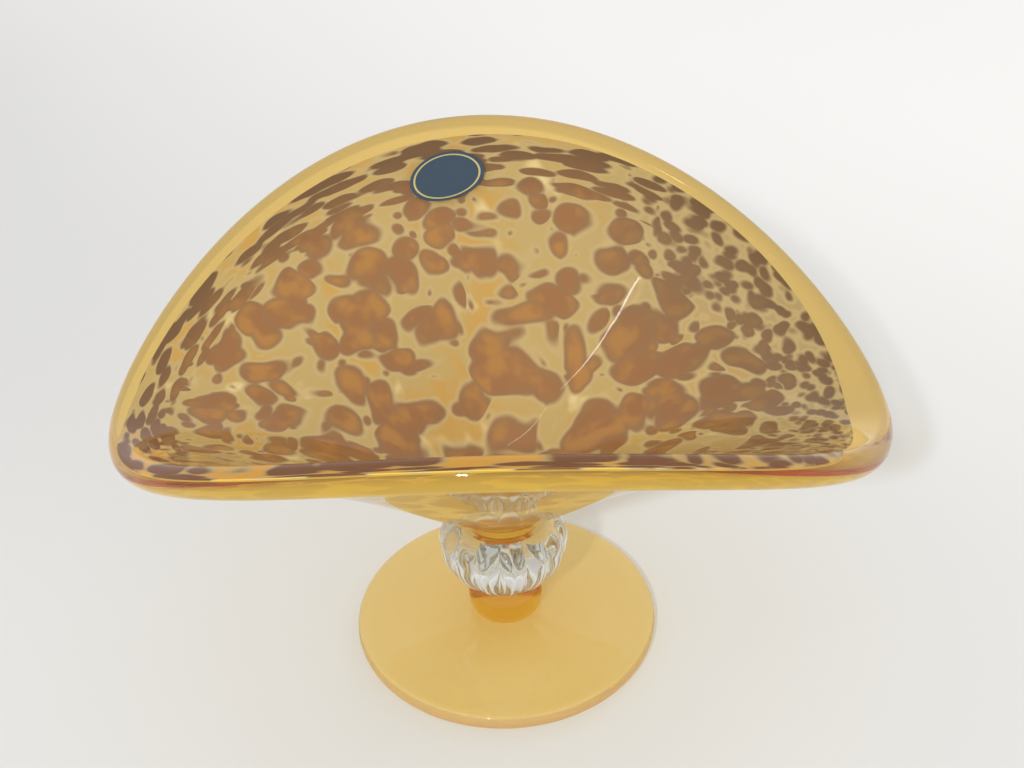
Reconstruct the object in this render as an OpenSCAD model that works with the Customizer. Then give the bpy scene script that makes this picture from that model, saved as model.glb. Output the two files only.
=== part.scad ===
// Hand-blown glass compote: an amber and tortoiseshell bowl folded up at front and back,
// on a clear ribbed knop, an amber collar and a round amber foot.
// The origin is on the table under the middle of the foot, +X runs along the fold to the
// right-hand tip, +Y to the back and +Z up. Lengths are millimetres, angles degrees.

/* [Foot] */
// Diameter of the round foot
foot_d = 100; // [80:1:120]
// Thickness of the foot at its rounded edge
foot_edge_t = 6; // [5:0.5:8]
// Height of the foot's top face where the collar stands
foot_top_z = 9.5; // [8.5:0.5:14]
// Inner diameter of the flat ring that meets the table
foot_ring_d = 80; // [70:1:84]
// How far the underside is hollowed inside that ring
foot_hollow = 1.2; // [0.5:0.1:2]

/* [Collar] */
// Greatest diameter of the collar
collar_d = 24.4; // [23.6:0.2:26]
// Height of the collar's widest place above its lower end
collar_belly_h = 4.5; // [3.5:0.5:5]
// Diameter of the collar's lower flat end
collar_foot_d = 22.4; // [20.4:0.2:23.2]
// Diameter of the collar's upper flat end
collar_head_d = 19.6; // [17:0.2:21]
// Height of the collar
collar_h = 12; // [10:0.5:16]

/* [Knop] */
// Diameter of the knop over its ribs
knop_d = 42; // [36:0.2:50]
// Height of the knop between its two flat ends
knop_h = 25; // [21:0.5:30]
// Height of the knop's widest place above its lower end
knop_belly_h = 16.5; // [13:0.5:17.5]
// Diameter of the knop's lower flat end
knop_foot_d = 19.6; // [17:0.2:21]
// Diameter of the knop's upper flat end
knop_head_d = 28; // [26.5:0.5:32]
// Number of ribs round the knop
knop_ribs = 14; // [10:1:16]
// Depth of the grooves between the ribs
rib_depth = 1.6; // [0.8:0.1:2.2]

/* [Bowl] */
// Length of the bowl from tip to tip, over the lip
bowl_len = 236; // [205:1:270]
// Depth of the bowl from the front lip to the back lip
bowl_dep = 185.5; // [165:1:210]
// Height of the lip's middle at the two tips, above the bowl's seat
tip_rise = 43; // [34:0.5:52]
// Height of the lip's middle at the front and back, above the bowl's seat
side_rise = 90.5; // [78:0.5:104]
// Diameter of the boss that stands on the knop
boss_d = 26; // [22:0.5:26.5]
// Height of the boss under the bowl
boss_h = 2; // [1.5:0.25:4]

/* [Bowl wall] */
// Thickness of the wall half-way up
wall_t = 6; // [5:0.25:7]
// Thickness of the glass over the boss
floor_t = 7.5; // [6.5:0.25:9]
// Diameter of the rounded lip
lip_d = 9; // [8:0.2:10.4]
// Roundness of the fold: low makes a sharp crease, high an even saddle
fold_soft = 1.24; // [0.5:0.02:3]
// Slope of the wall as it reaches the lip at the tips
tip_lean = 3; // [1:1:12]
// Slope of the wall as it reaches the lip at front and back
side_lean = 38; // [32:1:46]
// Share of the way to the tips where the floor stops being flat
tip_floor = 0.14; // [0.12:0.01:0.2]
// Share of the way to the front and back where the floor stops being flat
side_floor = 0.3; // [0.22:0.01:0.36]
// Share of the way to the tips where the wall takes the lip's slope
tip_flare = 0.37; // [0.34:0.01:0.7]
// Share of the way to the front and back where the wall takes the lip's slope
side_flare = 0.47; // [0.44:0.01:0.74]

/* [Hand-made unevenness] */
// How much lower the right-hand tip is, and the left-hand one higher
tip_tilt = 1; // [0:0.1:3]
// How much higher the back lip is, and the front one lower
back_lift = 2.9; // [0:0.1:5]
// How much the four quarters of the lip are twisted up and down
lip_twist = 3.5; // [0:0.1:5]

/* [Sticker] */
// Width of the blank oval sticker inside the back wall
sticker_w = 25; // [18:0.5:30]
// Height of the sticker
sticker_h = 15.5; // [12:0.5:20]
// Thickness of the sticker
sticker_t = 0.3; // [0.2:0.05:0.4]
// Place of the sticker round the bowl, from the right-hand tip
sticker_at = 102; // [85:1:110]
// Place of the sticker up the wall, as a share of the way to the lip
sticker_up = 0.9; // [0.75:0.005:0.91]
// Turn of the sticker on the wall
sticker_turn = 8; // [-15:1:15]

/* [Hidden] */
$fn = 96;

// Heights of the seats, each on top of the piece below
collar_seat_z = foot_top_z;
knop_seat_z = collar_seat_z + collar_h;
bowl_seat_z = knop_seat_z + knop_h;

// Foot
foot_r = foot_d / 2;
edge_r = foot_edge_t / 2;
foot_seat_r = collar_d / 2 + 0.9;
foot_slope_r = foot_r - 2 * edge_r;

// Knop: a pair of half ellipses that meet at the belly, cut by the two flat ends
knop_r = knop_d / 2;
belly_low = knop_belly_h / sqrt(1 - pow(knop_foot_d / knop_d, 2));
belly_high = (knop_h - knop_belly_h) / sqrt(1 - pow(knop_head_d / knop_d, 2));
rib_steps = 8;
knop_steps = knop_ribs * rib_steps;
knop_levels = 14;

// Bowl: the rim's middle line and the middle of the wall
lip_r = lip_d / 2;
rim_x = bowl_len / 2 - lip_r;
rim_y = bowl_dep / 2 - lip_r * cos(side_lean / 2);
floor_mid = boss_h + floor_t / 2;
lip_from = 0.86;
floor_to = 0.3;
boss_from = 0.24;
bowl_steps = 84;
tip_crowd = 8;
inner_rings = 18;
outer_rings = 16;
lip_rings = 8;
nudge = 0.001;
sticker_gap = 0.2;
sticker_steps = 40;
sticker_rings = 5;

amber = [0.86, 0.70, 0.30, 0.75];
deep_amber = [0.84, 0.60, 0.16, 0.85];
clear = [0.90, 0.91, 0.90, 0.55];
tortoise = [0.68, 0.48, 0.24, 0.9];
midnight = [0.13, 0.20, 0.30];

function unit(v) = v / norm(v);
function ease(t) = let (c = min(1, max(0, t))) c * c * (3 - 2 * c);

// Closed skin over rings of points, with one end point before the first ring and one after
// the last. Every ring has the same number of points.
module ringed_skin(first, rings, last) {
    n = len(rings[0]);
    m = len(rings);
    points = concat([first], [for (ring = rings) each ring], [last]);
    end = m * n + 1;
    function at(i, j) = 1 + i * n + j % n;
    faces = concat(
        [for (j = [0:n - 1]) [0, at(0, j + 1), at(0, j)]],
        [for (i = [0:m - 2], j = [0:n - 1]) each [
            [at(i, j), at(i, j + 1), at(i + 1, j + 1)],
            [at(i, j), at(i + 1, j + 1), at(i + 1, j)]]],
        [for (j = [0:n - 1]) [end, at(m - 1, j), at(m - 1, j + 1)]]);
    polyhedron(points, faces, convexity = 6);
}

// Foot: a disc with a rounded edge, a gently rising top and a hollowed underside
module foot() {
    color(amber)
    rotate_extrude()
    difference() {
        union() {
            translate([foot_r - edge_r, edge_r])
                circle(edge_r);
            square([foot_r - edge_r, foot_edge_t]);
            polygon([
                [0, edge_r],
                [foot_slope_r, edge_r],
                [foot_slope_r, foot_edge_t],
                [foot_seat_r, foot_top_z],
                [0, foot_top_z]]);
        }
        polygon([
            [-1, -1],
            [foot_ring_d / 2, -1],
            [foot_ring_d / 2, 0],
            [foot_ring_d / 2 - 3 * foot_hollow, foot_hollow],
            [-1, foot_hollow]]);
        translate([-2 * foot_r, -foot_r])
            square([2 * foot_r, 3 * foot_r]);
    }
}

// Half of the collar's section: an arc from its widest place to one of its flat ends
module collar_half(end_d, reach) {
    bulge = (collar_d - end_d) / 2;
    bow_r = (pow(reach, 2) + pow(bulge, 2)) / (2 * bulge);
    intersection() {
        translate([collar_d / 2 - bow_r, 0])
            circle(bow_r, $fn = 180);
        square([collar_d, reach]);
    }
}

// Collar: a short barrel between foot and knop, widest low down
module collar() {
    color(deep_amber)
    translate([0, 0, collar_seat_z])
    rotate_extrude()
    translate([0, collar_belly_h]) {
        collar_half(collar_head_d, collar_h - collar_belly_h);
        mirror([0, 1, 0])
            collar_half(collar_foot_d, collar_belly_h);
    }
}

// Knop radius over the ribs at a height above its lower end
function belly(h) = let (
    below = h < knop_belly_h,
    reach = below ? belly_low : belly_high)
    knop_r * sqrt(1 - pow((h - knop_belly_h) / reach, 2));

// Depth of the grooves at that height: none at the two flat ends
function groove(h) = rib_depth * pow(sin(180 * h / knop_h), 0.7);

// A ring of the knop, round on the ribs and sharper in the grooves
function knop_ring(h) = [for (j = [0:knop_steps - 1]) let (
    a = 360 * j / knop_steps,
    r = belly(h) - groove(h) * (1 - pow(abs(cos(knop_ribs * a / 2)), 0.8)))
    [r * cos(a), r * sin(a), knop_seat_z + h]];

// Knop: a clear melon with upright ribs
module knop() {
    color(clear)
    ringed_skin(
        [0, 0, bowl_seat_z],
        [for (i = [knop_levels:-1:0])
            knop_ring(knop_h * (1 - cos(180 * i / knop_levels)) / 2)],
        [0, 0, knop_seat_z]);
}

// How far the lip has climbed from tip to side at an angle: 0 at the tips, 1 at the sides
function climb(a) = (norm([sin(a), fold_soft]) - fold_soft) / (norm([1, fold_soft]) - fold_soft);

// A value at an angle, from its value at the tips and at the sides
function from_tip(tip, side, a) = tip + (side - tip) * climb(a);

// Height of the lip's middle above the seat
function lip_z(a) = from_tip(tip_rise, side_rise, a)
    - tip_tilt * cos(a) + back_lift * sin(a) - lip_twist * sin(2 * a);

// Middle of the wall: a curve of third degree from the floor's middle (s = 0) to the lip
// (s = 1), flat at the floor and leaning out at the lip
function wall_mid(s, a) = let (
    x = rim_x * cos(a),
    y = rim_y * sin(a),
    z = lip_z(a),
    flare = from_tip(tip_flare, side_flare, a),
    z_flare = z - (1 - flare) * norm([x, y]) * tan(from_tip(tip_lean, side_lean, a)),
    w_floor = 3 * pow(1 - s, 2) * s,
    w_flare = 3 * (1 - s) * s * s,
    w_lip = pow(s, 3),
    out = w_floor * from_tip(tip_floor, side_floor, a) + w_flare * flare + w_lip)
    [x * out, y * out, bowl_seat_z + (pow(1 - s, 3) + w_floor) * floor_mid
        + w_flare * z_flare + w_lip * z];

function up_wall(s, a) = unit(wall_mid(s, a) - wall_mid(s - nudge, a));
function round_wall(s, a) = unit(wall_mid(s, a + nudge) - wall_mid(s, a - nudge));
function inward(s, a) = unit(cross(up_wall(s, a), round_wall(s, a)));
function half_wall(s) = (floor_t + (wall_t - floor_t) * ease(s / floor_to)) / 2
    + (lip_r - wall_t / 2) * ease((s - lip_from) / (1 - lip_from));

// A point on the wall: off the middle by a distance, positive inside the bowl, and out
// beyond the rim's middle line by another
function on_wall(s, a, off, past = 0) = wall_mid(s, a)
    + off * inward(s, a) + past * up_wall(s, a);

// Angles round the bowl, closer together at the folded tips
bowl_angles = [for (j = [0:bowl_steps - 1]) let (t = 360 * j / bowl_steps)
    t - tip_crowd * sin(2 * t)];
function wall_ring(s, off, past = 0) = [for (a = bowl_angles) on_wall(s, a, off, past)];
function boss_ring(r, h) = [for (a = bowl_angles) let (
    to_rim = unit([rim_x * cos(a), rim_y * sin(a)]))
    [r * to_rim[0], r * to_rim[1], bowl_seat_z + h]];

// Bowl: one wall of glass from the inside of the floor, over the lip and back to the boss
module bowl() {
    boss_r = boss_d / 2;
    color(tortoise)
    ringed_skin(
        [0, 0, bowl_seat_z + boss_h + floor_t],
        concat(
            [for (i = [1:inner_rings]) let (s = i / inner_rings)
                wall_ring(s, half_wall(s))],
            [for (i = [1:lip_rings - 1]) let (b = 90 - 180 * i / lip_rings)
                wall_ring(1, lip_r * sin(b), lip_r * cos(b))],
            [for (i = [0:outer_rings]) let (s = 1 - (1 - boss_from) * i / outer_rings)
                wall_ring(s, -half_wall(s))],
            [boss_ring(boss_r + 1.6, boss_h),
             boss_ring(boss_r + 0.2, boss_h / 2),
             boss_ring(boss_r, boss_h / 4),
             boss_ring(boss_r - 0.6, 0)]),
        [0, 0, bowl_seat_z]);
}

// A point of the sticker: polar place on the oval, and height off the glass
function on_sticker(share, a, off) = let (
    per_s = norm(wall_mid(sticker_up + nudge, sticker_at)
        - wall_mid(sticker_up, sticker_at)) / nudge,
    per_deg = norm(wall_mid(sticker_up, sticker_at + nudge)
        - wall_mid(sticker_up, sticker_at)) / nudge,
    u = share * sticker_w / 2 * cos(a),
    v = share * sticker_h / 2 * sin(a),
    across = u * cos(sticker_turn) - v * sin(sticker_turn),
    up = u * sin(sticker_turn) + v * cos(sticker_turn),
    s = sticker_up + up / per_s)
    on_wall(s, sticker_at - across / per_deg, half_wall(s) + sticker_gap + off);

function sticker_ring(share, off) = [for (j = [0:sticker_steps - 1])
    on_sticker(share, 360 * j / sticker_steps, off)];

// Sticker: a blank oval of foil that follows the inside of the back wall
module sticker() {
    color(midnight)
    ringed_skin(
        on_sticker(0, 0, sticker_t),
        concat(
            [for (i = [1:sticker_rings]) sticker_ring(i / sticker_rings, sticker_t)],
            [for (i = [sticker_rings:-1:1]) sticker_ring(i / sticker_rings, 0)]),
        on_sticker(0, 0, 0));
}

foot();
collar();
knop();
bowl();
sticker();
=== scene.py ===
"""A hand-blown glass compote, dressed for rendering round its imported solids.

The bowl is a spun blank of amber glass, folded up at front and back, with a layer of
tortoiseshell chips inside its wall. It stands on a clear ribbed knop, an amber collar and a
round amber foot, and carries a blank oval foil sticker. Lengths are metres in the row's
frame, and MM turns a drawing's millimetres into them.
"""

import logging
import math
from collections.abc import Callable, Sequence
from dataclasses import dataclass
from enum import Enum
from typing import Any

import bmesh
import bpy
from mathutils import Matrix, Vector


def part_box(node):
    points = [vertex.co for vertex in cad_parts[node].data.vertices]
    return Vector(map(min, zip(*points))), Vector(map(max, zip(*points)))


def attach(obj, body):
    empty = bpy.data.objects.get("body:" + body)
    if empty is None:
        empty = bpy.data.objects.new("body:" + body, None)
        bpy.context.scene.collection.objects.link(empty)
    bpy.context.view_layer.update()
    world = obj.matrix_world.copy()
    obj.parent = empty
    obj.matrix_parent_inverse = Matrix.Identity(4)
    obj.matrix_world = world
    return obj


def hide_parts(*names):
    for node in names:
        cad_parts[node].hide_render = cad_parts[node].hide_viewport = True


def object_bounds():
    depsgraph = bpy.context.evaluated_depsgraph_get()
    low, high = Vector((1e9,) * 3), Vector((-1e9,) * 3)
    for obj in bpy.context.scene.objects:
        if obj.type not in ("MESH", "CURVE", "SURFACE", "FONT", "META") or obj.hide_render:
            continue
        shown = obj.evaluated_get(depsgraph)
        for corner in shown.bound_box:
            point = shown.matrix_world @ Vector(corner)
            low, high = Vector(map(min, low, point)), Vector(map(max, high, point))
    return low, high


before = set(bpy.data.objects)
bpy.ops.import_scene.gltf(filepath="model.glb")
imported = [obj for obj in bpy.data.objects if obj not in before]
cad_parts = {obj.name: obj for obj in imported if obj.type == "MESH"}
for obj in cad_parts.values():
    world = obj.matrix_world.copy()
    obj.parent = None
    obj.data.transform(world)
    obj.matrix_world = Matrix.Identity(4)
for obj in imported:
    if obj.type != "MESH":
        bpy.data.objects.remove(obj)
CAD_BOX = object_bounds()

MM = 0.001
SEAT_GAP = 0.03 * MM  # keeps glass faces that meet from lying in one plane
PATTERN = "blank"  # attribute: a vertex's place on the flat blank, in metres

SOFT = {"interpolation_type": "SMOOTHSTEP"}  # settings that several nodes share
COLOURS = {"data_type": "RGBA"}
LEVEL = {"noise_dimensions": "2D"}

Tree = bpy.types.NodeTree
Node = bpy.types.Node
Feed = Node | bpy.types.NodeSocket
Ring = Callable[[float], Vector]  # a place on a ring, from the turn round the upright axis
Made = list[tuple[bpy.types.Object, str, str]]  # pieces, each with its node and its slot

log = logging.getLogger("compote")


# Colours and nodes


def linear(shade: str) -> tuple[float, float, float, float]:
    """Turns an sRGB hex colour to linear light.

    Args:
        shade: the colour as "#RRGGBB".

    Returns:
        Red, green and blue in linear light, and an alpha of 1.
    """
    parts = [int(shade[i : i + 2], 16) / 255 for i in (1, 3, 5)]
    return (*(c / 12.92 if c <= 0.04045 else ((c + 0.055) / 1.055) ** 2.4 for c in parts), 1.0)


def add_node(tree: Tree, kind: str, wires: dict[Any, Any] | None = None, **settings: Any) -> Node:
    """Adds a node with its settings and links.

    Args:
        tree: the node tree that takes the node.
        kind: the node's type without "ShaderNode".
        wires: for each input, by name or number, what feeds it: a node by its first output,
            a socket, or a value.
        settings: the node's own settings.

    Returns:
        The new node.
    """
    node = tree.nodes.new("ShaderNode" + kind)
    for name, value in settings.items():
        setattr(node, name, value)
    for name, feed in (wires or {}).items():
        feed = feed.outputs[0] if isinstance(feed, Node) else feed
        if isinstance(feed, bpy.types.NodeSocket):
            tree.links.new(feed, node.inputs[name])
        else:
            node.inputs[name].default_value = feed
    return node


def new_material(name: str) -> tuple[bpy.types.Material, Tree]:
    """Starts a node material.

    Args:
        name: the finish in a maker's words.

    Returns:
        The material and its empty node tree.
    """
    material = bpy.data.materials.new(name)
    material.use_nodes = True
    material.node_tree.nodes.clear()
    return material, material.node_tree


# Finishes


@dataclass(frozen=True)
class FirePolishedGlass:
    """Soda-lime glass, gathered hot and fire-polished: a bright skin with a slight waver.

    Its colour is in its depth, so thick places look deeper than thin ones.
    """

    name: str
    keeps: str  # colour that white light has after passing through_mm of it
    through_mm: float
    skin: str = "#FFFFFF"  # colour that the fired skin gives to what passes in and out
    roughness: float = 0.02
    waver_mm: float = 0.02  # height of the tooled surface's waves
    wave_mm: float = 14.0  # distance between those waves
    smear_mm: float = 42.0  # and between the smears
    clarity: float = 1.0  # the rest of the light meets a faint milkiness
    straight: float = 0.7  # share of a lamp's light that each face lets through unbent
    passes: float = 0.98  # share of the unbent light that is left
    ior: float = 1.5
    spare: float = 1.05  # keeps every share of the absorbed colour below 1

    def material(self) -> bpy.types.Material:
        """Builds the glass as a clear skin round an absorbing volume.

        Returns:
            The material. Light from lamps and matt surfaces passes it unbent, so that
            what lies in or under the glass is lit.
        """
        material, tree = new_material(self.name)
        ray = add_node(tree, "LightPath").outputs
        unbent = add_node(
            tree,
            "Math",
            {0: ray["Is Shadow Ray"], 1: self.straight, 2: ray["Is Diffuse Ray"]},
            operation="MULTIPLY_ADD",
        )
        clear = add_node(tree, "BsdfTransparent", {"Color": (*(self.passes,) * 3, 1.0)})
        surface = add_node(tree, "MixShader", {0: unbent, 1: self.polished(tree), 2: clear})
        add_node(tree, "OutputMaterial", {"Surface": surface, "Volume": self.depth(tree)})
        return material

    def polished(self, tree: Tree) -> Feed:
        """Builds the fired skin, with its slow waves and its faintly duller smears.

        Args:
            tree: the material's nodes.

        Returns:
            The skin's shader.
        """
        place = add_node(tree, "TexCoord").outputs["Object"]
        waves = add_node(
            tree, "TexNoise", {"Vector": place, "Scale": 1 / (self.wave_mm * MM), "Detail": 1.0}
        )
        skin = add_node(
            tree, "Bump", {"Height": waves, "Strength": 1.0, "Distance": self.waver_mm * MM}
        )
        smears = add_node(
            tree, "TexNoise", {"Vector": place, "Scale": 1 / (self.smear_mm * MM), "Detail": 3.0}
        )
        polish = add_node(tree, "MapRange", {0: smears, 1: 0.3, 2: 0.7, 4: 2 * self.roughness})
        return add_node(
            tree,
            "BsdfPrincipled",
            {
                "Base Color": linear(self.skin),
                "Roughness": polish,
                "IOR": self.ior,
                "Transmission Weight": self.clarity,
                "Normal": skin,
            },
        )

    def depth(self, tree: Tree) -> Feed:
        """Builds the glass behind the skin, which deepens its colour with every millimetre.

        Args:
            tree: the material's nodes.

        Returns:
            The depth's shader.
        """
        lost = [-math.log(c) / (self.through_mm * MM) for c in linear(self.keeps)[:3]]
        density = self.spare * max(lost)
        return add_node(
            tree,
            "VolumeAbsorption",
            {"Color": (*(1 - c / density for c in lost), 1.0), "Density": density},
        )


@dataclass(frozen=True)
class BlankMap:
    """What tells the nodes where on the flat blank a place of the chips' layer lies."""

    tree: Tree  # the material's nodes
    place: Feed  # from the blank's middle, in millimetres
    out: Feed  # distance from the middle, in millimetres
    heading: Feed  # direction from the middle
    inner: Feed  # 1 on the layer's inner side and 0 on its outer one
    right: Feed  # 1 towards the right-hand tip
    edge: Feed  # 1 at the blank's edge, and sooner at the right
    thin: Feed  # 1 where the layer is drawn out thin
    painted_veil: Feed  # share of the painted grey reflection, a veil over the right-hand rim
    near_glow_and_streaks: Feed  # share of the painted glow of the thick near rim, and of its redder streaks


@dataclass(frozen=True)
class TortoiseshellChips:
    """Violet-brown glass chips melted on to a milky ground, which lies inside the wall.

    The chips were rolled on to the blank before it was folded, so they follow the blank:
    round and small at its middle, broad half-way out, thin, dark and dense at its edge.
    """

    name: str = "tortoiseshell_chips_on_milk_glass"
    milk: str = "#C3B38E"
    cloud: str = "#CBAA69"  # amber clouds in the milk glass
    cream: str = "#E8E0CE"  # and its pale wisps
    back: str = "#FBEBBE"  # the ground's outer side
    chip: str = "#986845"
    gold_chip: str = "#B08044"  # where a chip melted thin
    fringe: str = "#8F6C57"  # a chip's border
    halo: str = "#C8BCA8"  # the ground beside a chip
    streak: str = "#66442C"  # chips at the blank's edge
    painted_veil_chip: str = "#6F5A54"  # painted reflection: a grey veil over the right-hand rim
    painted_veil_ground: str = "#B0A398"
    painted_glow_ground: str = "#F6C24C"  # painted light: the thick near rim glows a deep bright yellow, inside and out
    painted_glow_back: str = "#FFF07C"
    near_streak: str = "#7E3F10"
    milky: str = "#FAF4E8"  # colour of the light that passes the layer
    # strength of the painted grey reflection at the right-hand rim
    painted_veil_share: float = 0.8
    # strength of the painted glow at the near rim
    near_glow_share: float = 0.95
    back_show: float = 0.4  # how much of the chips shows on the ground's outer side
    rim_show: float = 0.1  # and how much at the blank's edge
    lamp_share: float = 0.4  # share of the lamps' light that passes the layer
    blank_mm: float = 122.0  # radius of the blank
    cloud_mm: float = 30.0  # size of the clouds and the wisps
    wisp_mm: float = 18.75
    gold_mm: float = 11.11  # size of the gold patches
    flow_mm: float = 25.0  # size of the eddies that the hot glass flowed in
    flowed_mm: float = 20.0  # and how far it flowed
    ripple_mm: float = 14.29  # the same for the streaks
    rippled_mm: float = 8.0
    notch_mm: float = 10.0  # size of the notches in a chip's border
    notched_mm: float = 0.7  # and their depth
    join_mm: float = 1.5  # how softly chips that touch run together
    # values of the noise between which each colour comes in
    amber_at: tuple[float, float] = (0.44, 0.64)
    cream_at: tuple[float, float] = (0.54, 0.72)
    gold_at: tuple[float, float] = (0.42, 0.66)
    # where each coat starts and is full, from outside a chip's border to inside it
    haze_mm: tuple[float, float] = (-2.8, -0.4)
    fringe_mm: tuple[float, float] = (-1.3, 0.9)
    core_mm: tuple[float, float] = (-0.4, 4.4)
    # round chips: distance between them, least and greatest radius as shares of it, a shift
    scatters: tuple[tuple[float, float, float, float], ...] = (
        (17.5, 0.28, 0.6, 0.0),
        (10.5, -0.1, 0.48, 310.0),
    )
    # chips at the edge: distance, how much shorter they are across, weight left and right
    streaks: tuple[tuple[float, float, float, float], ...] = (
        (17.0, 6.0, 1.8, 0.0),
        (6.5, 1.9, 0.0, 1.8),
    )

    def material(self) -> bpy.types.Material:
        """Builds the chips and their ground.

        Returns:
            The material, which reads the blank's attribute: a place on the blank, and in
            its third number 1 on the inner side and 0 on the outer one.
        """
        material, tree = new_material(self.name)
        blank = self.blank(tree)
        surface = self.surface(blank, self.colour(blank))
        add_node(tree, "OutputMaterial", {"Surface": surface})
        return material

    def blank(self, tree: Tree) -> BlankMap:
        """Reads where on the blank a place lies, and in which of its zones.

        Args:
            tree: the material's nodes.

        Returns:
            The map. Its zones start and end at shares of the way out to the blank's edge,
            and of the full turn to the right or to the front.
        """
        reach = self.blank_mm
        flat = add_node(tree, "Attribute", attribute_name=PATTERN).outputs["Vector"]
        sides = add_node(tree, "SeparateXYZ", {0: flat}).outputs
        level = add_node(tree, "CombineXYZ", {0: sides[0], 1: sides[1]})
        place = add_node(tree, "VectorMath", {0: level, 3: 1 / MM}, operation="SCALE")
        out = add_node(tree, "VectorMath", {0: place}, operation="LENGTH").outputs["Value"]
        heading = add_node(tree, "VectorMath", {0: place}, operation="NORMALIZE")
        compass = add_node(tree, "SeparateXYZ", {0: heading}).outputs
        right = add_node(tree, "MapRange", {0: compass[0], 1: 0.2, 2: 0.7}, **SOFT)
        starts = add_node(tree, "MapRange", {0: right, 3: 0.8 * reach, 4: 0.6 * reach})
        edge = add_node(tree, "MapRange", {0: out, 1: starts, 2: 0.93 * reach}, **SOFT)
        thin = add_node(tree, "MapRange", {0: out, 1: 0.4 * reach, 2: 0.8 * reach}, **SOFT)
        # painted reflection: the grey veil grows out towards the right-hand rim
        rim = add_node(
            tree, "MapRange", {0: out, 1: 0.4 * reach, 2: 0.95 * reach, 4: self.painted_veil_share}, **SOFT
        )
        # painted light: the near rim's glow, with its redder streaks, towards the front
        front = add_node(tree, "MapRange", {0: compass[1], 1: -0.1, 2: -0.5, 4: self.near_glow_share})
        painted_veil = add_node(tree, "Math", {0: right, 1: rim}, operation="MULTIPLY")
        near_glow_and_streaks = add_node(tree, "Math", {0: edge, 1: front}, operation="MULTIPLY")
        return BlankMap(tree, place, out, heading, sides[2], right, edge, thin, painted_veil, near_glow_and_streaks)

    def coat(self, tree: Tree, base: str | Feed, *coats: tuple[Feed, str | Feed]) -> Feed:
        """Lays coats of colour over one another.

        Args:
            tree: the material's nodes.
            base: the lowest colour, a hex value or what feeds one.
            coats: each coat's share and colour, from the lowest to the highest.

        Returns:
            The colour that is seen.
        """
        seen = linear(base) if isinstance(base, str) else base
        for share, colour in coats:
            over = linear(colour) if isinstance(colour, str) else colour
            seen = add_node(tree, "Mix", {0: share, 6: seen, 7: over}, **COLOURS).outputs[2]
        return seen

    def colour(self, blank: BlankMap) -> Feed:
        """Colours the ground, the haze round the chips and the chips, with a painted grey reflection at
        the right-hand rim and a painted glow at the near rim.

        Args:
            blank: where on the blank a place lies.

        Returns:
            The layer's colour.
        """
        tree, inside = blank.tree, self.cover(blank)
        faint = add_node(tree, "MapRange", {0: blank.edge, 3: self.back_show, 4: self.rim_show})
        shown = add_node(tree, "MapRange", {0: blank.inner, 3: faint})
        haze, seen, core = (
            add_node(tree, "MapRange", {0: inside, 1: low, 2: high, 4: most}, **SOFT)
            for (low, high), most in (
                (self.haze_mm, shown),
                (self.fringe_mm, shown),
                (self.core_mm, 1.0),
            )
        )
        dark = add_node(
            tree, "MapRange", {0: blank.out, 1: 0.8 * self.blank_mm, 2: self.blank_mm}, **SOFT
        )
        gold = add_node(
            tree, "TexNoise", {"Vector": blank.place, "Scale": 1 / self.gold_mm, "Detail": 2.0}, **LEVEL
        )
        low, high = self.gold_at
        golden = add_node(tree, "MapRange", {0: gold, 1: low, 2: high}, **SOFT)
        chip = self.coat(
            tree,
            self.fringe,
            (core, self.coat(tree, self.chip, (golden, self.gold_chip))),
            # painted reflection: a grey veil over the chips at the right-hand rim
            (blank.painted_veil, self.painted_veil_chip),
            (dark, self.streak),
            (blank.near_glow_and_streaks, self.near_streak),
        )
        return self.coat(
            tree,
            self.back,
            (shown, self.ground(blank)),
            # painted reflection: a grey veil over the ground at the right-hand rim
            (blank.painted_veil, self.painted_veil_ground),
            # painted light: the near rim's ground glows bright yellow
            (blank.near_glow_and_streaks, self.coat(tree, self.painted_glow_back, (blank.inner, self.painted_glow_ground))),
            (haze, self.halo),
            (seen, chip),
        )

    def ground(self, blank: BlankMap) -> Feed:
        """Colours the milk glass: clouds of amber in it, and paler towards the middle.

        Args:
            blank: where on the blank a place lies.

        Returns:
            The ground's colour.
        """
        tree = blank.tree
        clouds, wisps = (
            add_node(
                tree,
                "TexNoise",
                {"Vector": blank.place, "Scale": 1 / size, "Detail": detail, "Distortion": curl},
                **LEVEL,
            )
            for size, detail, curl in ((self.cloud_mm, 3.0, 0.6), (self.wisp_mm, 2.0, 0.3))
        )
        middle = add_node(
            tree, "MapRange", {0: blank.out, 1: 15.0, 2: 0.5 * self.blank_mm, 3: 0.08, 4: -0.08}
        )
        pale = add_node(tree, "Math", {0: wisps, 1: middle})
        amber, creamy = (
            add_node(tree, "MapRange", {0: noise, 1: low, 2: high}, **SOFT)
            for noise, (low, high) in ((clouds, self.amber_at), (pale, self.cream_at))
        )
        return self.coat(tree, self.milk, (amber, self.cloud), (creamy, self.cream))

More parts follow.
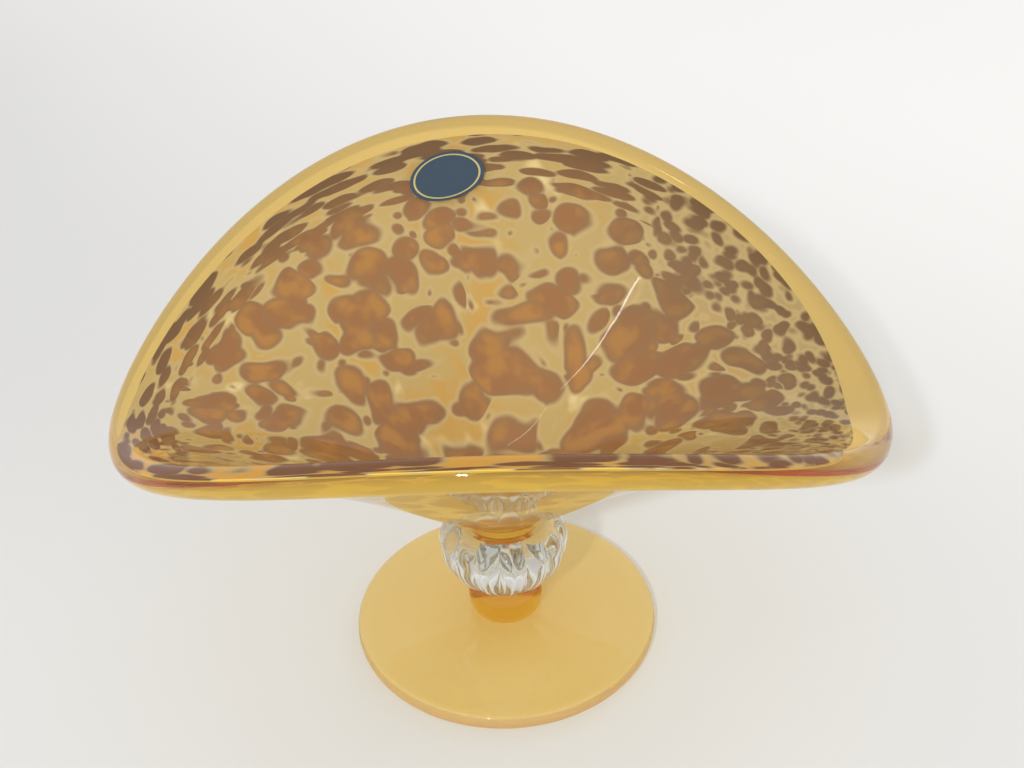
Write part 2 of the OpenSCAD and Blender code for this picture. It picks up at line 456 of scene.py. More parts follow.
    def surface(self, blank: BlankMap, colour: Feed) -> Feed:
        """Gives the colour a skin that lets some light through, more where it is thin.

        Args:
            blank: where on the blank a place lies.
            colour: the layer's colour.

        Returns:
            The layer's shader.
        """
        tree = blank.tree
        skin = add_node(
            tree, "BsdfPrincipled", {"Base Color": colour, "Roughness": 0.6, "IOR": 1.5}
        )
        glow = add_node(tree, "BsdfTranslucent", {"Color": colour})
        outer = add_node(tree, "MapRange", {0: blank.inner, 3: blank.thin, 4: 0.0})
        solid = add_node(tree, "MixShader", {0: outer, 1: skin, 2: glow})
        ray = add_node(tree, "LightPath").outputs
        lamps = add_node(
            tree, "Math", {0: ray["Is Shadow Ray"], 1: self.lamp_share}, operation="MULTIPLY"
        )
        passed = add_node(tree, "MapRange", {0: blank.thin, 3: 0.8, 4: 1.0})
        part = add_node(
            tree, "Math", {0: ray["Is Diffuse Ray"], 1: passed, 2: lamps}, operation="MULTIPLY_ADD"
        )
        clear = add_node(tree, "BsdfTransparent", {"Color": linear(self.milky)})
        return add_node(tree, "MixShader", {0: part, 1: solid, 2: clear})

    def cover(self, blank: BlankMap) -> Feed:
        """Melts the chips together where they touch.

        Args:
            blank: where on the blank a place lies.

        Returns:
            How far a place lies inside a chip of any kind, in millimetres.
        """
        tree = blank.tree
        inside, *others = self.edge_chips(blank) + self.round_chips(blank)
        for kind in others:
            inside = add_node(
                tree, "Math", {0: inside, 1: kind, 2: self.join_mm}, operation="SMOOTH_MAX"
            )
        notches = add_node(
            tree, "TexNoise", {"Vector": blank.place, "Scale": 1 / self.notch_mm, "Detail": 1.0}, **LEVEL
        )
        wander = add_node(
            tree,
            "MapRange",
            {0: notches, 1: 0.25, 2: 0.75, 3: -self.notched_mm, 4: self.notched_mm},
        )
        return add_node(tree, "Math", {0: inside, 1: wander})

    def round_chips(self, blank: BlankMap) -> list[Feed]:
        """Scatters round chips, which flowed with the hot glass and end before its edge.

        Args:
            blank: where on the blank a place lies.

        Returns:
            For each scatter, how far a place lies inside a chip, in millimetres.
        """
        tree = blank.tree
        flow = add_node(
            tree, "TexNoise", {"Vector": blank.place, "Scale": 1 / self.flow_mm, "Detail": 1.0}, **LEVEL
        )
        eddy = add_node(
            tree, "VectorMath", {0: flow.outputs["Color"], 1: (0.5, 0.5, 0.5)}, operation="SUBTRACT"
        )
        shift = add_node(tree, "VectorMath", {0: eddy, 3: self.flowed_mm}, operation="SCALE")
        drawn = add_node(tree, "MapRange", {0: blank.out, 2: self.blank_mm, 3: 0.8, 4: 1.3})
        spun = add_node(tree, "VectorMath", {0: blank.place, 3: drawn}, operation="SCALE")
        melted = add_node(tree, "VectorMath", {0: spun, 1: shift})
        late = add_node(tree, "Math", {0: blank.edge, 1: 3.0}, operation="POWER")
        kinds = []
        for spacing, least, most, aside in self.scatters:
            moved = add_node(tree, "VectorMath", {0: melted, 1: (aside, 0.6 * aside, 0.0)})
            cells = add_node(
                tree,
                "TexVoronoi",
                {"Vector": moved, "Scale": 1 / spacing, "Smoothness": 0.25},
                voronoi_dimensions="2D",
                feature="SMOOTH_F1",
            )
            lots = add_node(tree, "SeparateColor", {0: cells.outputs["Color"]})
            radius = add_node(tree, "MapRange", {0: lots, 3: least * spacing, 4: most * spacing})
            shrunk = add_node(
                tree,
                "Math",
                {0: late, 1: -most * spacing, 2: radius},
                operation="MULTIPLY_ADD",
            )
            kinds.append(self.within(tree, cells, spacing, shrunk))
        return kinds

    def edge_chips(self, blank: BlankMap) -> list[Feed]:
        """Lays chips along the blank's edge: long streaks, and flecks at the right.

        Args:
            blank: where on the blank a place lies.

        Returns:
            For each kind, how far a place lies inside a chip, in millimetres.
        """
        tree = blank.tree
        round_rim = add_node(
            tree, "VectorMath", {0: blank.heading, 3: self.blank_mm}, operation="SCALE"
        )
        flow = add_node(
            tree,
            "TexNoise",
            {"Vector": blank.place, "Scale": 1 / self.ripple_mm, "Detail": 1.0},
            **LEVEL,
        )
        ripple = add_node(
            tree, "VectorMath", {0: flow.outputs["Color"], 3: self.rippled_mm}, operation="SCALE"
        )
        kinds = []
        for spacing, squeeze, left, right in self.streaks:
            rise = add_node(tree, "Math", {0: blank.out, 1: squeeze}, operation="MULTIPLY")
            lift = add_node(tree, "CombineXYZ", {2: rise})
            drawn = add_node(tree, "VectorMath", {0: round_rim, 1: lift})
            drawn = add_node(tree, "VectorMath", {0: drawn, 1: ripple})
            cells = add_node(
                tree,
                "TexVoronoi",
                {"Vector": drawn, "Scale": 1 / spacing, "Smoothness": 0.2},
                feature="SMOOTH_F1",
            )
            weight = add_node(tree, "MapRange", {0: blank.right, 3: left, 4: right})
            share = add_node(tree, "Math", {0: blank.edge, 1: weight}, operation="MULTIPLY")
            reach = add_node(tree, "MapRange", {0: share, 3: -0.3 * spacing, 4: 0.53 * spacing})
            kinds.append(self.within(tree, cells, spacing, reach))
        return kinds

    def within(self, tree: Tree, cells: Node, spacing_mm: float, radius: Node) -> Feed:
        """How far a place lies inside its cell's chip, from the cells and the chip's radius."""
        return add_node(
            tree,
            "Math",
            {0: cells.outputs["Distance"], 1: -spacing_mm, 2: radius},
            operation="MULTIPLY_ADD",
        )


@dataclass(frozen=True)
class FoilSticker:
    """Dark blue varnished foil with a thin gold line printed round it, and nothing else."""

    name: str = "varnished_blue_foil"
    field: str = "#24384A"
    worn: str = "#2C4254"  # the field where its varnish is dull
    gold: str = "#C9B878"
    grain_mm: float = 1.5
    line_at: float = 0.88  # share of the way out to the sticker's edge
    line_half: float = 0.025

    def material(self) -> bpy.types.Material:
        """Builds the foil: dull blue with a faint grain, and a bright line.

        Returns:
            The material, whose attribute says how far out on the oval a place is.
        """
        material, tree = new_material(self.name)
        share = add_node(tree, "Attribute", attribute_name=PATTERN).outputs["Fac"]
        place = add_node(tree, "TexCoord").outputs["Object"]
        grain = add_node(
            tree, "TexNoise", {"Vector": place, "Scale": 1 / (self.grain_mm * MM), "Detail": 3.0}
        )
        line = add_node(
            tree, "Math", {0: share, 1: self.line_at, 2: self.line_half}, operation="COMPARE"
        )
        tone = add_node(
            tree, "Mix", {0: grain, 6: linear(self.field), 7: linear(self.worn)}, **COLOURS
        )
        colour = add_node(
            tree, "Mix", {0: line, 6: tone.outputs[2], 7: linear(self.gold)}, **COLOURS
        )
        skin = add_node(
            tree,
            "BsdfPrincipled",
            {"Base Color": colour.outputs[2], "Metallic": line, "Roughness": 0.35},
        )
        add_node(tree, "OutputMaterial", {"Surface": skin})
        return material


class Finish(Enum):
    """The finishes of the compote's pieces."""

    BOWL = FirePolishedGlass(
        "pale_amber_bowl_glass", keeps="#FDF5DA", through_mm=9.0, skin="#F5D78C", clarity=0.97
    )
    FOOT = FirePolishedGlass(
        "amber_foot_glass", keeps="#FAE5A0", through_mm=16.0, skin="#FCEAB2", clarity=0.75
    )
    COLLAR = FirePolishedGlass(
        "deep_amber_collar_glass", keeps="#FBDF90", through_mm=16.0, skin="#F0D286"
    )
    KNOP = FirePolishedGlass("clear_knop_glass", keeps="#F6F7F5", through_mm=30.0, waver_mm=0.01)
    CHIPS = TortoiseshellChips()
    STICKER = FoilSticker()


# Meshes


def round_ring(radius: float, height: float) -> Ring:
    """A level circle round the upright axis."""
    return lambda turn: Vector((radius * math.cos(turn), radius * math.sin(turn), height))


def blow(
    name: str,
    rings: Sequence[Ring],
    steps: int,
    finish: Finish,
    pattern: Callable[[int, float], Vector] | None = None,
) -> bpy.types.Object:
    """Spins a blank and lays each of its rings in place.

    The blank is a plain tube: a chain of edges spun round the axis, with both ends drawn in
    to a point on it. Each ring of the tube then takes the form that rings gives it.

    Args:
        name: the piece's name.
        rings: the piece's rings from one pole to the other.
        steps: how many places each ring has.
        finish: the piece's finish.
        pattern: the value of the pattern attribute, from the ring's number and the turn.

    Returns:
        The piece, a closed skin whose faces point outwards.
    """
    blank = bmesh.new()
    last = len(rings) - 1
    chain = [blank.verts.new((0.0 if i in (0, last) else 1.0, 0.0, i)) for i in range(last + 1)]
    edges = [blank.edges.new(pair) for pair in zip(chain, chain[1:])]
    bmesh.ops.spin(
        blank,
        geom=chain + edges,
        cent=(0, 0, 0),
        axis=(0, 0, 1),
        angle=math.tau,
        steps=steps,
        use_merge=True,
    )
    bmesh.ops.remove_doubles(blank, verts=blank.verts, dist=0.001)
    flat = blank.verts.layers.float_vector.new(PATTERN) if pattern else None
    for vert in blank.verts:
        number, turn = round(vert.co.z), math.atan2(vert.co.y, vert.co.x)
        if flat:
            vert[flat] = pattern(number, turn)
        vert.co = rings[number](turn)
    blank.normal_update()
    bmesh.ops.recalc_face_normals(blank, faces=blank.faces)
    for face in blank.faces:
        face.smooth = True
    mesh = bpy.data.meshes.new(name)
    blank.to_mesh(mesh)
    blank.free()
    mesh.set_sharp_from_angle(angle=math.radians(50))
    mesh.materials.append(finish.value.material())
    piece = bpy.data.objects.new(name, mesh)
    bpy.context.scene.collection.objects.link(piece)
    return piece


def ease(share: float) -> float:
    """A soft step from 0 to 1."""
    share = min(1.0, max(0.0, share))
    return share * share * (3 - 2 * share)


def spread(count: int, first: float = 0.0, last: float = 1.0) -> list[float]:
    """Evenly spaced values from first to last, count steps apart."""
    return [first + (last - first) * i / count for i in range(count + 1)]


def bent(bends: Sequence[Vector], share: float) -> Vector:
    """A place on one curve of third degree, which four bends draw."""
    weights = (1 - share) ** 3, 3 * (1 - share) ** 2 * share, 3 * (1 - share) * share**2, share**3
    return sum((weight * bend for weight, bend in zip(weights, bends)), Vector())


@dataclass(frozen=True)
class SaddleWall:
    """The blown wall, folded up at front and back. A place on it is a rise and a turn.

    The rise goes from 0 at the floor's middle to 1 at the lip, and the turn is the angle
    from the right-hand tip.
    """

    seat: float
    reach_x: float
    reach_y: float
    tip_rise: float = 43 * MM
    side_rise: float = 90.5 * MM
    fold_soft: float = 1.24  # how evenly the lip climbs from the tips to the sides
    tip_tilt: float = 1 * MM
    back_lift: float = 2.86 * MM  # keeps the smooth lip as low as the solid's facets
    lip_twist: float = 3.5 * MM
    boss_r: float = 13 * MM
    boss_h: float = 2 * MM
    wall_t: float = 6 * MM
    floor_t: float = 7.5 * MM
    lip_r: float = 4.5 * MM
    tip_lean: float = math.radians(3)  # slope of the wall below the lip
    side_lean: float = math.radians(38)
    tip_floor: float = 0.14  # share of the way out that the floor's bend pulls to
    side_floor: float = 0.3
    tip_flare: float = 0.37  # and the flare's bend
    side_flare: float = 0.47
    lip_from: float = 0.86  # rise at which the wall starts to thicken into the lip
    floor_to: float = 0.3  # rise at which the floor has thinned into the wall
    run_steps: int = 6

    @classmethod
    def from_frame(cls) -> "SaddleWall":
        """Takes the wall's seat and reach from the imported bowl."""
        low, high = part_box("bowl")
        return cls(seat=low.z, reach_x=high.x - cls.lip_r, reach_y=high.y - cls.lip_r)

    def climb(self, turn: float) -> float:
        """How far the lip has climbed: 0 at the tips and 1 at the front and back."""
        soft = self.fold_soft
        return (math.hypot(math.sin(turn), soft) - soft) / (math.hypot(1, soft) - soft)

    def from_tip(self, tip: float, side: float, turn: float) -> float:
        """A value at a turn, from its value at the tips and at the sides."""
        return tip + (side - tip) * self.climb(turn)

    def lip_height(self, turn: float) -> float:
        """Height of the lip's middle above the seat, uneven as handwork is."""
        return (
            self.from_tip(self.tip_rise, self.side_rise, turn)
            - self.tip_tilt * math.cos(turn)
            + self.back_lift * math.sin(turn)
            - self.lip_twist * math.sin(2 * turn)
        )

    def middle(self, rise: float, turn: float) -> Vector:
        """Draws the middle of the wall, a curve of third degree from the floor to the lip.

        Args:
            rise: how far up the wall.
            turn: how far round it.

        Returns:
            The place in the row's frame.
        """
        x, y = self.reach_x * math.cos(turn), self.reach_y * math.sin(turn)
        height = self.lip_height(turn)
        flare = self.from_tip(self.tip_flare, self.side_flare, turn)
        lean = self.from_tip(self.tip_lean, self.side_lean, turn)
        flare_height = height - (1 - flare) * math.hypot(x, y) * math.tan(lean)
        at_floor = 3 * (1 - rise) ** 2 * rise
        at_flare = 3 * (1 - rise) * rise**2
        at_lip = rise**3
        floor = self.from_tip(self.tip_floor, self.side_floor, turn)
        out = at_floor * floor + at_flare * flare + at_lip
        up = (
            ((1 - rise) ** 3 + at_floor) * (self.boss_h + self.floor_t / 2)
            + at_flare * flare_height
            + at_lip * height
        )
        return Vector((x * out, y * out, self.seat + up))

    def half(self, rise: float) -> float:
        """Thins the floor into the wall and thickens the wall into the lip.

        Args:
            rise: how far up the wall.

        Returns:
            Half of the wall's thickness there.
        """
        wall = self.floor_t + (self.wall_t - self.floor_t) * ease(rise / self.floor_to)
        lip = ease((rise - self.lip_from) / (1 - self.lip_from))
        return wall / 2 + (self.lip_r - self.wall_t / 2) * lip

    def place(self, rise: float, turn: float, off: float = 0.0, past: float = 0.0) -> Vector:
        """Finds a place in, on or beside the wall.

        Args:
            rise: how far up the wall.
            turn: how far round it.
            off: distance from the wall's middle, positive inside the bowl.
            past: distance beyond the lip's middle line.

        Returns:
            The place in the row's frame.
        """
        step = 1e-4
        here = self.middle(rise, turn)
        up = (here - self.middle(rise - step, turn)).normalized()
        round_it = (self.middle(rise, turn + step) - self.middle(rise, turn - step)).normalized()
        return here + off * up.cross(round_it).normalized() + past * up

    def run(self, rise: float, turn: float) -> float:
        """Length of the wall from the floor's middle up to a rise."""
        steps = [self.middle(rise * share, turn) for share in spread(self.run_steps)]
        return sum((b - a).length for a, b in zip(steps, steps[1:]))


# Pieces


@dataclass(frozen=True)
class Bowl:
    """The folded bowl: clear amber glass round a thin layer of chips on milk glass."""

    wall: SaddleWall
    steps: int = 288
    inner_rings: int = 56
    lip_rings: int = 24
    outer_rings: int = 44
    neck_rings: int = 8
    neck_from: float = 0.24  # rise at which the outside turns down to the boss
    neck_out: float = 1.6 * MM  # how the curve to the boss is drawn
    neck_up: float = 1.4
    neck_in: float = 0.6 * MM
    layer_off: float = 0.9 * MM  # from the wall's middle to the chips' layer
    layer_t: float = 0.7 * MM
    edge_rings: int = 6
    clear_band: float = 3.2 * MM  # from the chips' edge to the lip's middle line
    tip_band: float = 2.8 * MM  # what is added to that at the right-hand tip
    right_band: float = -1.8 * MM  # and beyond it, towards the back
    left_band: float = -2.2 * MM
    near_band: float = -7.0 * MM  # the chips reach over the lip at the front
    right_at: float = math.radians(42)

    def glass(self) -> bpy.types.Object:
        """Blows the amber wall, from the inside of the floor over the lip to the boss.

        Returns:
            The wall, a closed skin.
        """
        wall = self.wall
        rings = [
            lambda turn, rise=rise: wall.place(rise, turn, wall.half(rise))
            for rise in spread(self.inner_rings)[1:]
        ]
        rings += [
            lambda turn, a=a: wall.place(1, turn, wall.lip_r * math.sin(a), wall.lip_r * math.cos(a))
            for a in spread(self.lip_rings, math.pi / 2, -math.pi / 2)[1:-1]
        ]
        rings += [
            lambda turn, rise=rise: wall.place(rise, turn, -wall.half(rise))
            for rise in spread(self.outer_rings, 1, self.neck_from)
        ]
        rings += [lambda turn, t=t: self.neck(t, turn) for t in spread(self.neck_rings)[1:]]
        inner = wall.seat + wall.boss_h + wall.floor_t
        poles = round_ring(0, inner), round_ring(0, wall.seat + SEAT_GAP)
        return blow("bowl_glass", [poles[0], *rings, poles[1]], self.steps, Finish.BOWL)

    def neck(self, share: float, turn: float) -> Vector:
        """Draws the curve from the wall's outside down to the edge of the boss.

        Args:
            share: how far along the curve, from the wall to the boss.
            turn: how far round the bowl.

        Returns:
            The place in the row's frame.
        """
        wall = self.wall
        start = wall.place(self.neck_from, turn, -wall.half(self.neck_from))
        heading = Vector((wall.reach_x * math.cos(turn), wall.reach_y * math.sin(turn), 0))
        heading.normalize()
        floor, top = Vector((0, 0, wall.seat)), Vector((0, 0, wall.boss_h))
        bends = [
            start,
            floor + (wall.boss_r + self.neck_out) * heading + self.neck_up * top,
            floor + wall.boss_r * heading + top,
            floor + (wall.boss_r - self.neck_in) * heading + Vector((0, 0, SEAT_GAP)),
        ]
        return bent(bends, share)

    def layer_top(self, turn: float) -> float:
        """Leaves a clear band of uneven width above the chips.

        Args:
            turn: how far round the bowl.

        Returns:
            The rise at which the chips stop.
        """
        band = (
            self.clear_band
            + self.tip_band * max(0.0, math.cos(turn)) ** 8
            + self.right_band * max(0.0, math.cos(turn - self.right_at)) ** 2
            + self.left_band * max(0.0, -math.cos(turn)) ** 2
            + self.near_band * max(0.0, -math.sin(turn)) ** 1.3
        )
        return 1 - band / self.wall.run(1, turn)

    def chips(self) -> bpy.types.Object:
        """Lays the layer of chips inside the wall.

        Returns:
            The layer, a closed sheet with a rounded edge.
        """
        wall, half = self.wall, self.layer_t / 2
        rises = spread(self.inner_rings)[1:]
        edge = spread(self.edge_rings, math.pi / 2, -math.pi / 2)[1:-1]
        stations = [(rise, half, 0.0) for rise in rises]
        stations += [(1.0, half * math.sin(a), half * math.cos(a)) for a in edge]
        stations += [(rise, -half, 0.0) for rise in reversed(rises)]

        def ring(station: tuple[float, float, float]) -> Ring:
            """A ring of the layer, from its rise, distance off its middle and past its top."""
            rise, off, past = station
            return lambda turn: wall.place(
                rise * self.layer_top(turn), turn, self.layer_off + off, past
            )

        def on_blank(number: int, turn: float) -> Vector:
            """Finds where a place of the layer lay on the flat blank.

            Args:
                number: the place's ring.
                turn: how far round the bowl.

            Returns:
                Its place on the blank, and 1 on the inner side or 0 on the outer one.
            """
            on_ring = 0 < number <= len(stations)
            rise = stations[number - 1][0] * self.layer_top(turn) if on_ring else 0.0
            run = wall.run(rise, turn)
            inner = 1.0 if number < len(rises) + len(edge) / 2 else 0.0
            return Vector((run * math.cos(turn), run * math.sin(turn), inner))

        floor = wall.seat + wall.boss_h + wall.floor_t / 2 + self.layer_off
        rings = [round_ring(0, floor + half), *map(ring, stations), round_ring(0, floor - half)]
        return blow("bowl_chips", rings, self.steps, Finish.CHIPS, on_blank)

    def build(self) -> Made:
        """Builds the glass and the chips, each with its node and slot."""
        slot = "tortoiseshell_glass"
        return [(self.glass(), "bowl", slot), (self.chips(), "bowl", slot)]


@dataclass(frozen=True)
class Knop:
    """The clear melon with upright ribs that die out at both ends."""

    low: Vector
    high: Vector
    belly_h: float = 16.5 * MM
    foot_r: float = 9.8 * MM
    head_r: float = 14 * MM
    rib_depth: float = 1.6 * MM
    rib_fade: float = 0.7  # how late the ribs die out towards the ends
    rib_round: float = 0.8  # how round they are
    ribs: int = 14
    rib_steps: int = 24
    levels: int = 56

    def radius(self, height: float, turn: float) -> float:
        """Rounds the melon and cuts its grooves.

        Args:
            height: above the knop's foot.
            turn: how far round it.

        Returns:
            Distance of the skin from the axis.
        """
        full, belly, tall = self.high.x, self.belly_h, self.high.z - self.low.z
        end_r, reach = (self.foot_r, belly) if height < belly else (self.head_r, tall - belly)
        stretch = reach / math.sqrt(1 - (end_r / full) ** 2)
        bulge = full * math.sqrt(1 - ((height - belly) / stretch) ** 2)
        groove = self.rib_depth * max(0.0, math.sin(math.pi * height / tall)) ** self.rib_fade
        return bulge - groove * (1 - abs(math.cos(self.ribs * turn / 2)) ** self.rib_round)

    def build(self) -> Made:
        """Builds the knop.

        Returns:
            The knop, with its node and slot.
        """
        tall = self.high.z - self.low.z
        heights = [tall * (1 - math.cos(a)) / 2 for a in spread(self.levels, 0, math.pi)]

        def ring(height: float) -> Ring:
            """A ribbed ring of the knop, at a height above its foot."""
            lift = self.low.z + min(tall - SEAT_GAP, max(SEAT_GAP, height))
            return lambda turn: round_ring(self.radius(height, turn), lift)(turn)

        rings = [round_ring(0, self.low.z + SEAT_GAP), *map(ring, heights)]
        rings.append(round_ring(0, self.high.z - SEAT_GAP))
        steps = self.ribs * self.rib_steps
        return [(blow("knop_glass", rings, steps, Finish.KNOP), "knop", "clear_glass")]


@dataclass(frozen=True)
class Collar:
    """The short amber barrel between the foot and the knop, widest low down."""

    low: Vector
    high: Vector
    belly_h: float = 4.5 * MM
    foot_r: float = 11.2 * MM
    head_r: float = 9.8 * MM
    levels: int = 24
    steps: int = 128

    def radius(self, height: float) -> float:
        """Bows the barrel, with one arc below its belly and one above.

        Args:
            height: above the collar's foot.

        Returns:
            Distance of the skin from the axis.
        """
        above = height > self.belly_h
        reach = self.high.z - self.low.z - self.belly_h if above else self.belly_h
        bulge = self.high.x - (self.head_r if above else self.foot_r)
        bow_r = (reach**2 + bulge**2) / (2 * bulge)
        return self.high.x - bow_r + math.sqrt(bow_r**2 - (height - self.belly_h) ** 2)

    def build(self) -> Made:
        """Builds the collar.

        Returns:
            The collar, with its node and slot.
        """
        tall = self.high.z - self.low.z
        rings = [round_ring(0, self.low.z + SEAT_GAP)]
        for height in spread(self.levels, SEAT_GAP, tall - SEAT_GAP):
            rings.append(round_ring(self.radius(height), self.low.z + height))
        rings.append(round_ring(0, self.high.z - SEAT_GAP))
        piece = blow("collar_glass", rings, self.steps, Finish.COLLAR)
        return [(piece, "collar", "deep_amber_glass")]


@dataclass(frozen=True)
class Foot:
    """The round foot: a rounded edge, a gently rising top and a hollowed underside."""

    low: Vector
    high: Vector
    seat_r: float = 13.1 * MM
    edge_t: float = 6 * MM
    ring_r: float = 40 * MM
    hollow: float = 1.2 * MM
    slope_rings: int = 16
    edge_rings: int = 24
    steps: int = 256

    def outline(self) -> list[tuple[float, float]]:
        """Draws half of the foot's section, from its middle round the edge to the hollow.

        Returns:
            Radius and height of each corner, with the round edge as an arc.
        """
        edge_r = self.edge_t / 2
        slope_r = self.high.x - 2 * edge_r
        top = [(0, self.high.z), (self.seat_r / 2, self.high.z)]
        for share in spread(self.slope_rings):
            radius = self.seat_r + (slope_r - self.seat_r) * share
            top.append((radius, self.edge_t + (self.high.z - self.edge_t) * (1 - share)))
        arc = [
            (self.high.x - edge_r + edge_r * math.cos(a), edge_r + edge_r * math.sin(a))
            for a in spread(self.edge_rings, math.pi / 2, -math.pi / 2)
        ]
        inside = self.ring_r - 3 * self.hollow
        return [*top, *arc, (self.ring_r, 0), (inside, self.hollow), (0, self.hollow)]

    def build(self) -> Made:
        """Builds the foot, with its node and slot."""
        rings = [round_ring(radius, height) for radius, height in self.outline()]
        return [(blow("foot_glass", rings, self.steps, Finish.FOOT), "foot", "amber_glass")]


@dataclass(frozen=True)
class Sticker:
    """The oval foil sticker on the inside of the back wall, following the glass."""

    wall: SaddleWall
    width: float = 25 * MM
    height: float = 15.5 * MM
    thick: float = 0.3 * MM
    gap: float = 0.2 * MM
    rise: float = 0.9
    turn: float = math.radians(102)
    slant: float = math.radians(8)
    rings: int = 14
    steps: int = 96

    def place(self, share: float, angle: float, off: float) -> Vector:
        """Lays a place of the oval on the glass.

        Args:
            share: how far out on the oval.
            angle: how far round it.
            off: height above the sticker's underside.

        Returns:
            The place in the row's frame.
        """
        wall, step = self.wall, 1e-4
        here = wall.middle(self.rise, self.turn)
        per_rise = (wall.middle(self.rise + step, self.turn) - here).length / step
        per_turn = (wall.middle(self.rise, self.turn + step) - here).length / step
        u = share * self.width / 2 * math.cos(angle)
        v = share * self.height / 2 * math.sin(angle)
        across = u * math.cos(self.slant) - v * math.sin(self.slant)
        up = u * math.sin(self.slant) + v * math.cos(self.slant)
        rise = self.rise + up / per_rise
        return wall.place(rise, self.turn - across / per_turn, wall.half(rise) + self.gap + off)

    def build(self) -> Made:
        """Builds the sticker.

        Returns:
            The sticker, with its node and slot.
        """
        out = [*spread(self.rings), *reversed(spread(self.rings))]
        offs = [off for off in (self.thick, 0.0) for _ in range(self.rings + 1)]
        rings = [
            lambda turn, share=share, off=off: self.place(share, turn, off)
            for share, off in zip(out, offs)
        ]
        piece = blow(
            "sticker_foil",
            rings,
            self.steps,
            Finish.STICKER,
            lambda number, turn: Vector((out[number],) * 3),
        )
        return [(piece, "sticker", "sticker_foil")]


# Studio


@dataclass(frozen=True)
class Viewpoint:
    """The photograph's camera, fitted to the foot's ellipse and the bowl's outline."""

    azimuth: float = math.radians(4.0006)
    elevation: float = math.radians(35.2798)
    distance: float = 452.837 * MM
    aim_height: float = 97.989 * MM
    aim_side: float = 4.413 * MM
    roll: float = math.radians(-1.8801)
    lens_mm: float = 52.734
    sensor_mm: float = 36.0

    def build(self) -> bpy.types.Object:
        """Places the camera.

        Returns:
            The camera, which the scene then looks through.
        """
        level = math.cos(self.elevation)
        back = Vector(
            (
                math.sin(self.azimuth) * level,
                -math.cos(self.azimuth) * level,
                math.sin(self.elevation),
            )
        )
        right = Vector((math.cos(self.azimuth), math.sin(self.azimuth), 0))
        up = back.cross(right)
        tilted = Matrix.Rotation(self.roll, 3, back)
        data = bpy.data.cameras.new("camera")
        data.sensor_width = self.sensor_mm
        data.lens = self.lens_mm
        camera = bpy.data.objects.new("camera", data)
        turned = Matrix((tilted @ right, tilted @ up, back)).transposed().to_4x4()
        aim = Vector((0, 0, self.aim_height)) + self.aim_side * right
        camera.matrix_world = Matrix.Translation(aim + self.distance * back) @ turned
        bpy.context.scene.collection.objects.link(camera)
        bpy.context.scene.camera = camera
        bpy.context.scene.view_settings.view_transform = "Standard"
        return camera


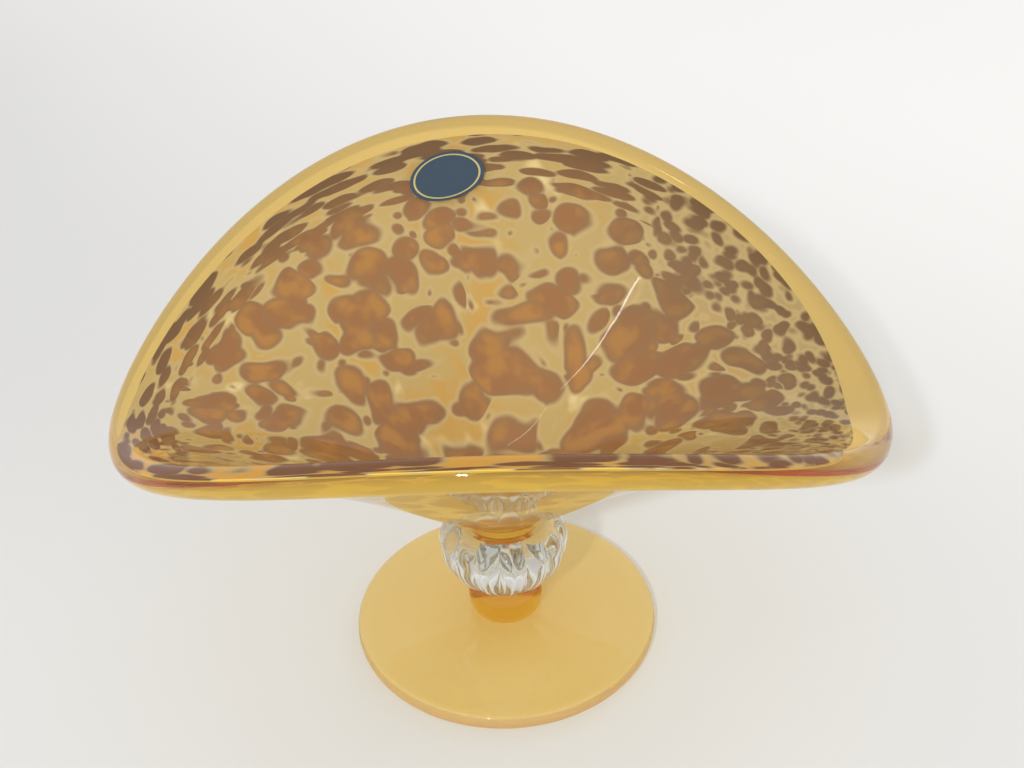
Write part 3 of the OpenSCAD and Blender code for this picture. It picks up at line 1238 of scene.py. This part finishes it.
@dataclass(frozen=True)
class Studio:
    """A plain pale floor under soft light: a sky, a broad lamp behind and a small one; the floor's
    painted light makes it paler at the back right and far away.
    """

    floor_side: float = 12.0
    near_floor: str = "#DDDCDA"
    # painted light: the floor is painted paler towards the back right, as if lit from there
    painted_lit_floor: str = "#FBF9F6"
    painted_light_towards: tuple[float, float, float] = (0.8, 1.2, 0.0)  # painted light: paler towards the back right
    painted_light_reach: float = 0.75  # distance along that at which the floor is at its palest, the painted light brightest
    painted_skyline_light: str = "#FDFDFD"  # painted light: the floor far away, painted near white where it meets the sky
    skyline_from: float = 0.8
    skyline_to: float = 2.6
    sky: str = "#F4F5F6"
    sky_strength: float = 0.82
    window_at: Vector = Vector((0.9, 1.1, 1.1))
    window_side: float = 0.9
    window_watts: float = 4.0
    lamp_at: Vector = Vector((-0.152, -0.732, 0.63))
    lamp_side: float = 0.04
    lamp_watts: float = 4.4

    def card(self) -> bpy.types.Material:
        """Builds the floor's matt card, with painted light: it is paler at the back right and far away.

        Returns:
            The material.
        """
        material, tree = new_material("matt_white_card")
        place = add_node(tree, "TexCoord").outputs["Object"]
        ahead = add_node(
            tree, "VectorMath", {0: place, 1: self.painted_light_towards}, operation="DOT_PRODUCT"
        ).outputs["Value"]
        fibres = add_node(tree, "TexNoise", {"Vector": place, "Scale": 3.0, "Detail": 2.0})
        across = add_node(tree, "Math", {0: fibres, 1: 0.1, 2: ahead}, operation="MULTIPLY_ADD")
        # painted light: the floor pales towards the back right
        share = add_node(tree, "MapRange", {0: across, 2: self.painted_light_reach}, **SOFT)
        away = add_node(tree, "VectorMath", {0: place}, operation="LENGTH").outputs["Value"]
        # painted light: the floor pales far away, into the sky
        painted_far_light = add_node(
            tree, "MapRange", {0: away, 1: self.skyline_from, 2: self.skyline_to}, **SOFT
        )
        tone = linear(self.near_floor)
        for coat, shade in ((share, self.painted_lit_floor), (painted_far_light, self.painted_skyline_light)):
            tone = add_node(
                tree, "Mix", {0: coat, 6: tone, 7: linear(shade)}, **COLOURS
            ).outputs[2]
        skin = add_node(
            tree,
            "BsdfPrincipled",
            {"Base Color": tone, "Roughness": 0.9, "Specular IOR Level": 0.1},
        )
        add_node(tree, "OutputMaterial", {"Surface": skin})
        return material

    def floor(self) -> bpy.types.Object:
        """Lays the floor just under the foot.

        Returns:
            The floor, which keeps the compote's shadow.
        """
        sheet = bmesh.new()
        bmesh.ops.create_grid(sheet, x_segments=8, y_segments=8, size=self.floor_side / 2)
        bmesh.ops.translate(sheet, verts=sheet.verts, vec=(0, 0, -SEAT_GAP))
        mesh = bpy.data.meshes.new("floor")
        sheet.to_mesh(mesh)
        sheet.free()
        mesh.materials.append(self.card())
        floor = bpy.data.objects.new("floor", mesh)
        bpy.context.scene.collection.objects.link(floor)
        return floor

    def world(self) -> bpy.types.World:
        """Lights everything evenly from a pale sky, and lets light through thick glass.

        Returns:
            The world.
        """
        scene = bpy.context.scene
        world = bpy.data.worlds.new("soft_sky")
        world.use_nodes = True
        tree = world.node_tree
        tree.nodes.clear()
        sky = add_node(tree, "Background", {"Color": linear(self.sky), "Strength": self.sky_strength})
        add_node(tree, "OutputWorld", {"Surface": sky})
        scene.world = world
        scene.cycles.max_bounces = 24
        scene.cycles.glossy_bounces = 16
        scene.cycles.transmission_bounces = 24
        scene.cycles.transparent_max_bounces = 24
        return world

    def lamp(self, name: str, place: Vector, side: float, watts: float) -> bpy.types.Object:
        """Hangs a square lamp that faces the compote.

        Args:
            name: the lamp's name.
            place: where its middle is.
            side: its width and height.
            watts: its power.

        Returns:
            The lamp.
        """
        data = bpy.data.lights.new(name, "AREA")
        data.size = side
        data.energy = watts
        lamp = bpy.data.objects.new(name, data)
        aim = (Vector((0, 0, CAD_BOX[1].z / 2)) - place).to_track_quat("-Z", "Y")
        lamp.matrix_world = Matrix.Translation(place) @ aim.to_matrix().to_4x4()
        bpy.context.scene.collection.objects.link(lamp)
        return lamp

    def build(self) -> None:
        """Builds the floor, the sky and the lamps."""
        self.floor()
        self.world()
        window = self.lamp("window", self.window_at, self.window_side, self.window_watts)
        window.visible_glossy = False
        window.visible_transmission = False
        self.lamp("lamp", self.lamp_at, self.lamp_side, self.lamp_watts)


@dataclass(frozen=True)
class BentTube:
    """A thin bent lamp tube over the camera, whose reflection curves across the bowl."""

    bends: tuple[Vector, ...] = (
        Vector((-823, -1104, 1500)) * MM,
        Vector((-783, -954, 1500)) * MM,
        Vector((-290, -920, 1500)) * MM,
        Vector((-60, -710, 1500)) * MM,
    )
    width: float = 13 * MM
    steps: int = 40
    strength: float = 12.0

    def build(self) -> bpy.types.Object:
        """Builds the tube as a flat glowing strip.

        Returns:
            The strip, which is seen only as a reflection.
        """
        strip = bmesh.new()
        bmesh.ops.create_grid(strip, x_segments=self.steps, y_segments=1, size=0.5)
        for vert in strip.verts:
            share, aside = vert.co.x + 0.5, vert.co.y * self.width
            ahead = bent(self.bends, min(1, share + 0.01)) - bent(self.bends, max(0, share - 0.01))
            taper = math.sqrt(math.sin(math.pi * (0.06 + 0.88 * share)))
            across = ahead.normalized().cross(Vector((0, 0, 1)))
            vert.co = bent(self.bends, share) + aside * taper * across
        mesh = bpy.data.meshes.new("bent_tube")
        strip.to_mesh(mesh)
        strip.free()
        material, tree = new_material("glowing_tube")
        glow = add_node(tree, "Emission", {"Strength": self.strength})
        add_node(tree, "OutputMaterial", {"Surface": glow})
        mesh.materials.append(material)
        tube = bpy.data.objects.new("bent_tube", mesh)
        tube.visible_camera = False
        tube.visible_shadow = False
        bpy.context.scene.collection.objects.link(tube)
        return tube


def main() -> None:
    """Builds the camera, the studio and each sub-assembly."""
    logging.basicConfig(level=logging.INFO, format="%(name)s: %(message)s")
    Viewpoint().build()
    Studio().build()
    BentTube().build()
    wall = SaddleWall.from_frame()
    makers = [
        Foot(*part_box("foot")),
        Collar(*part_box("collar")),
        Knop(*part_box("knop")),
        Bowl(wall),
        Sticker(wall),
    ]
    for maker in makers:
        for piece, node, slot in maker.build():
            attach(piece, "root")
            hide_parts(node)
            log.info("%s: %d faces, for node %s", piece.name, len(piece.data.polygons), node)


if __name__ == "__main__":
    main()
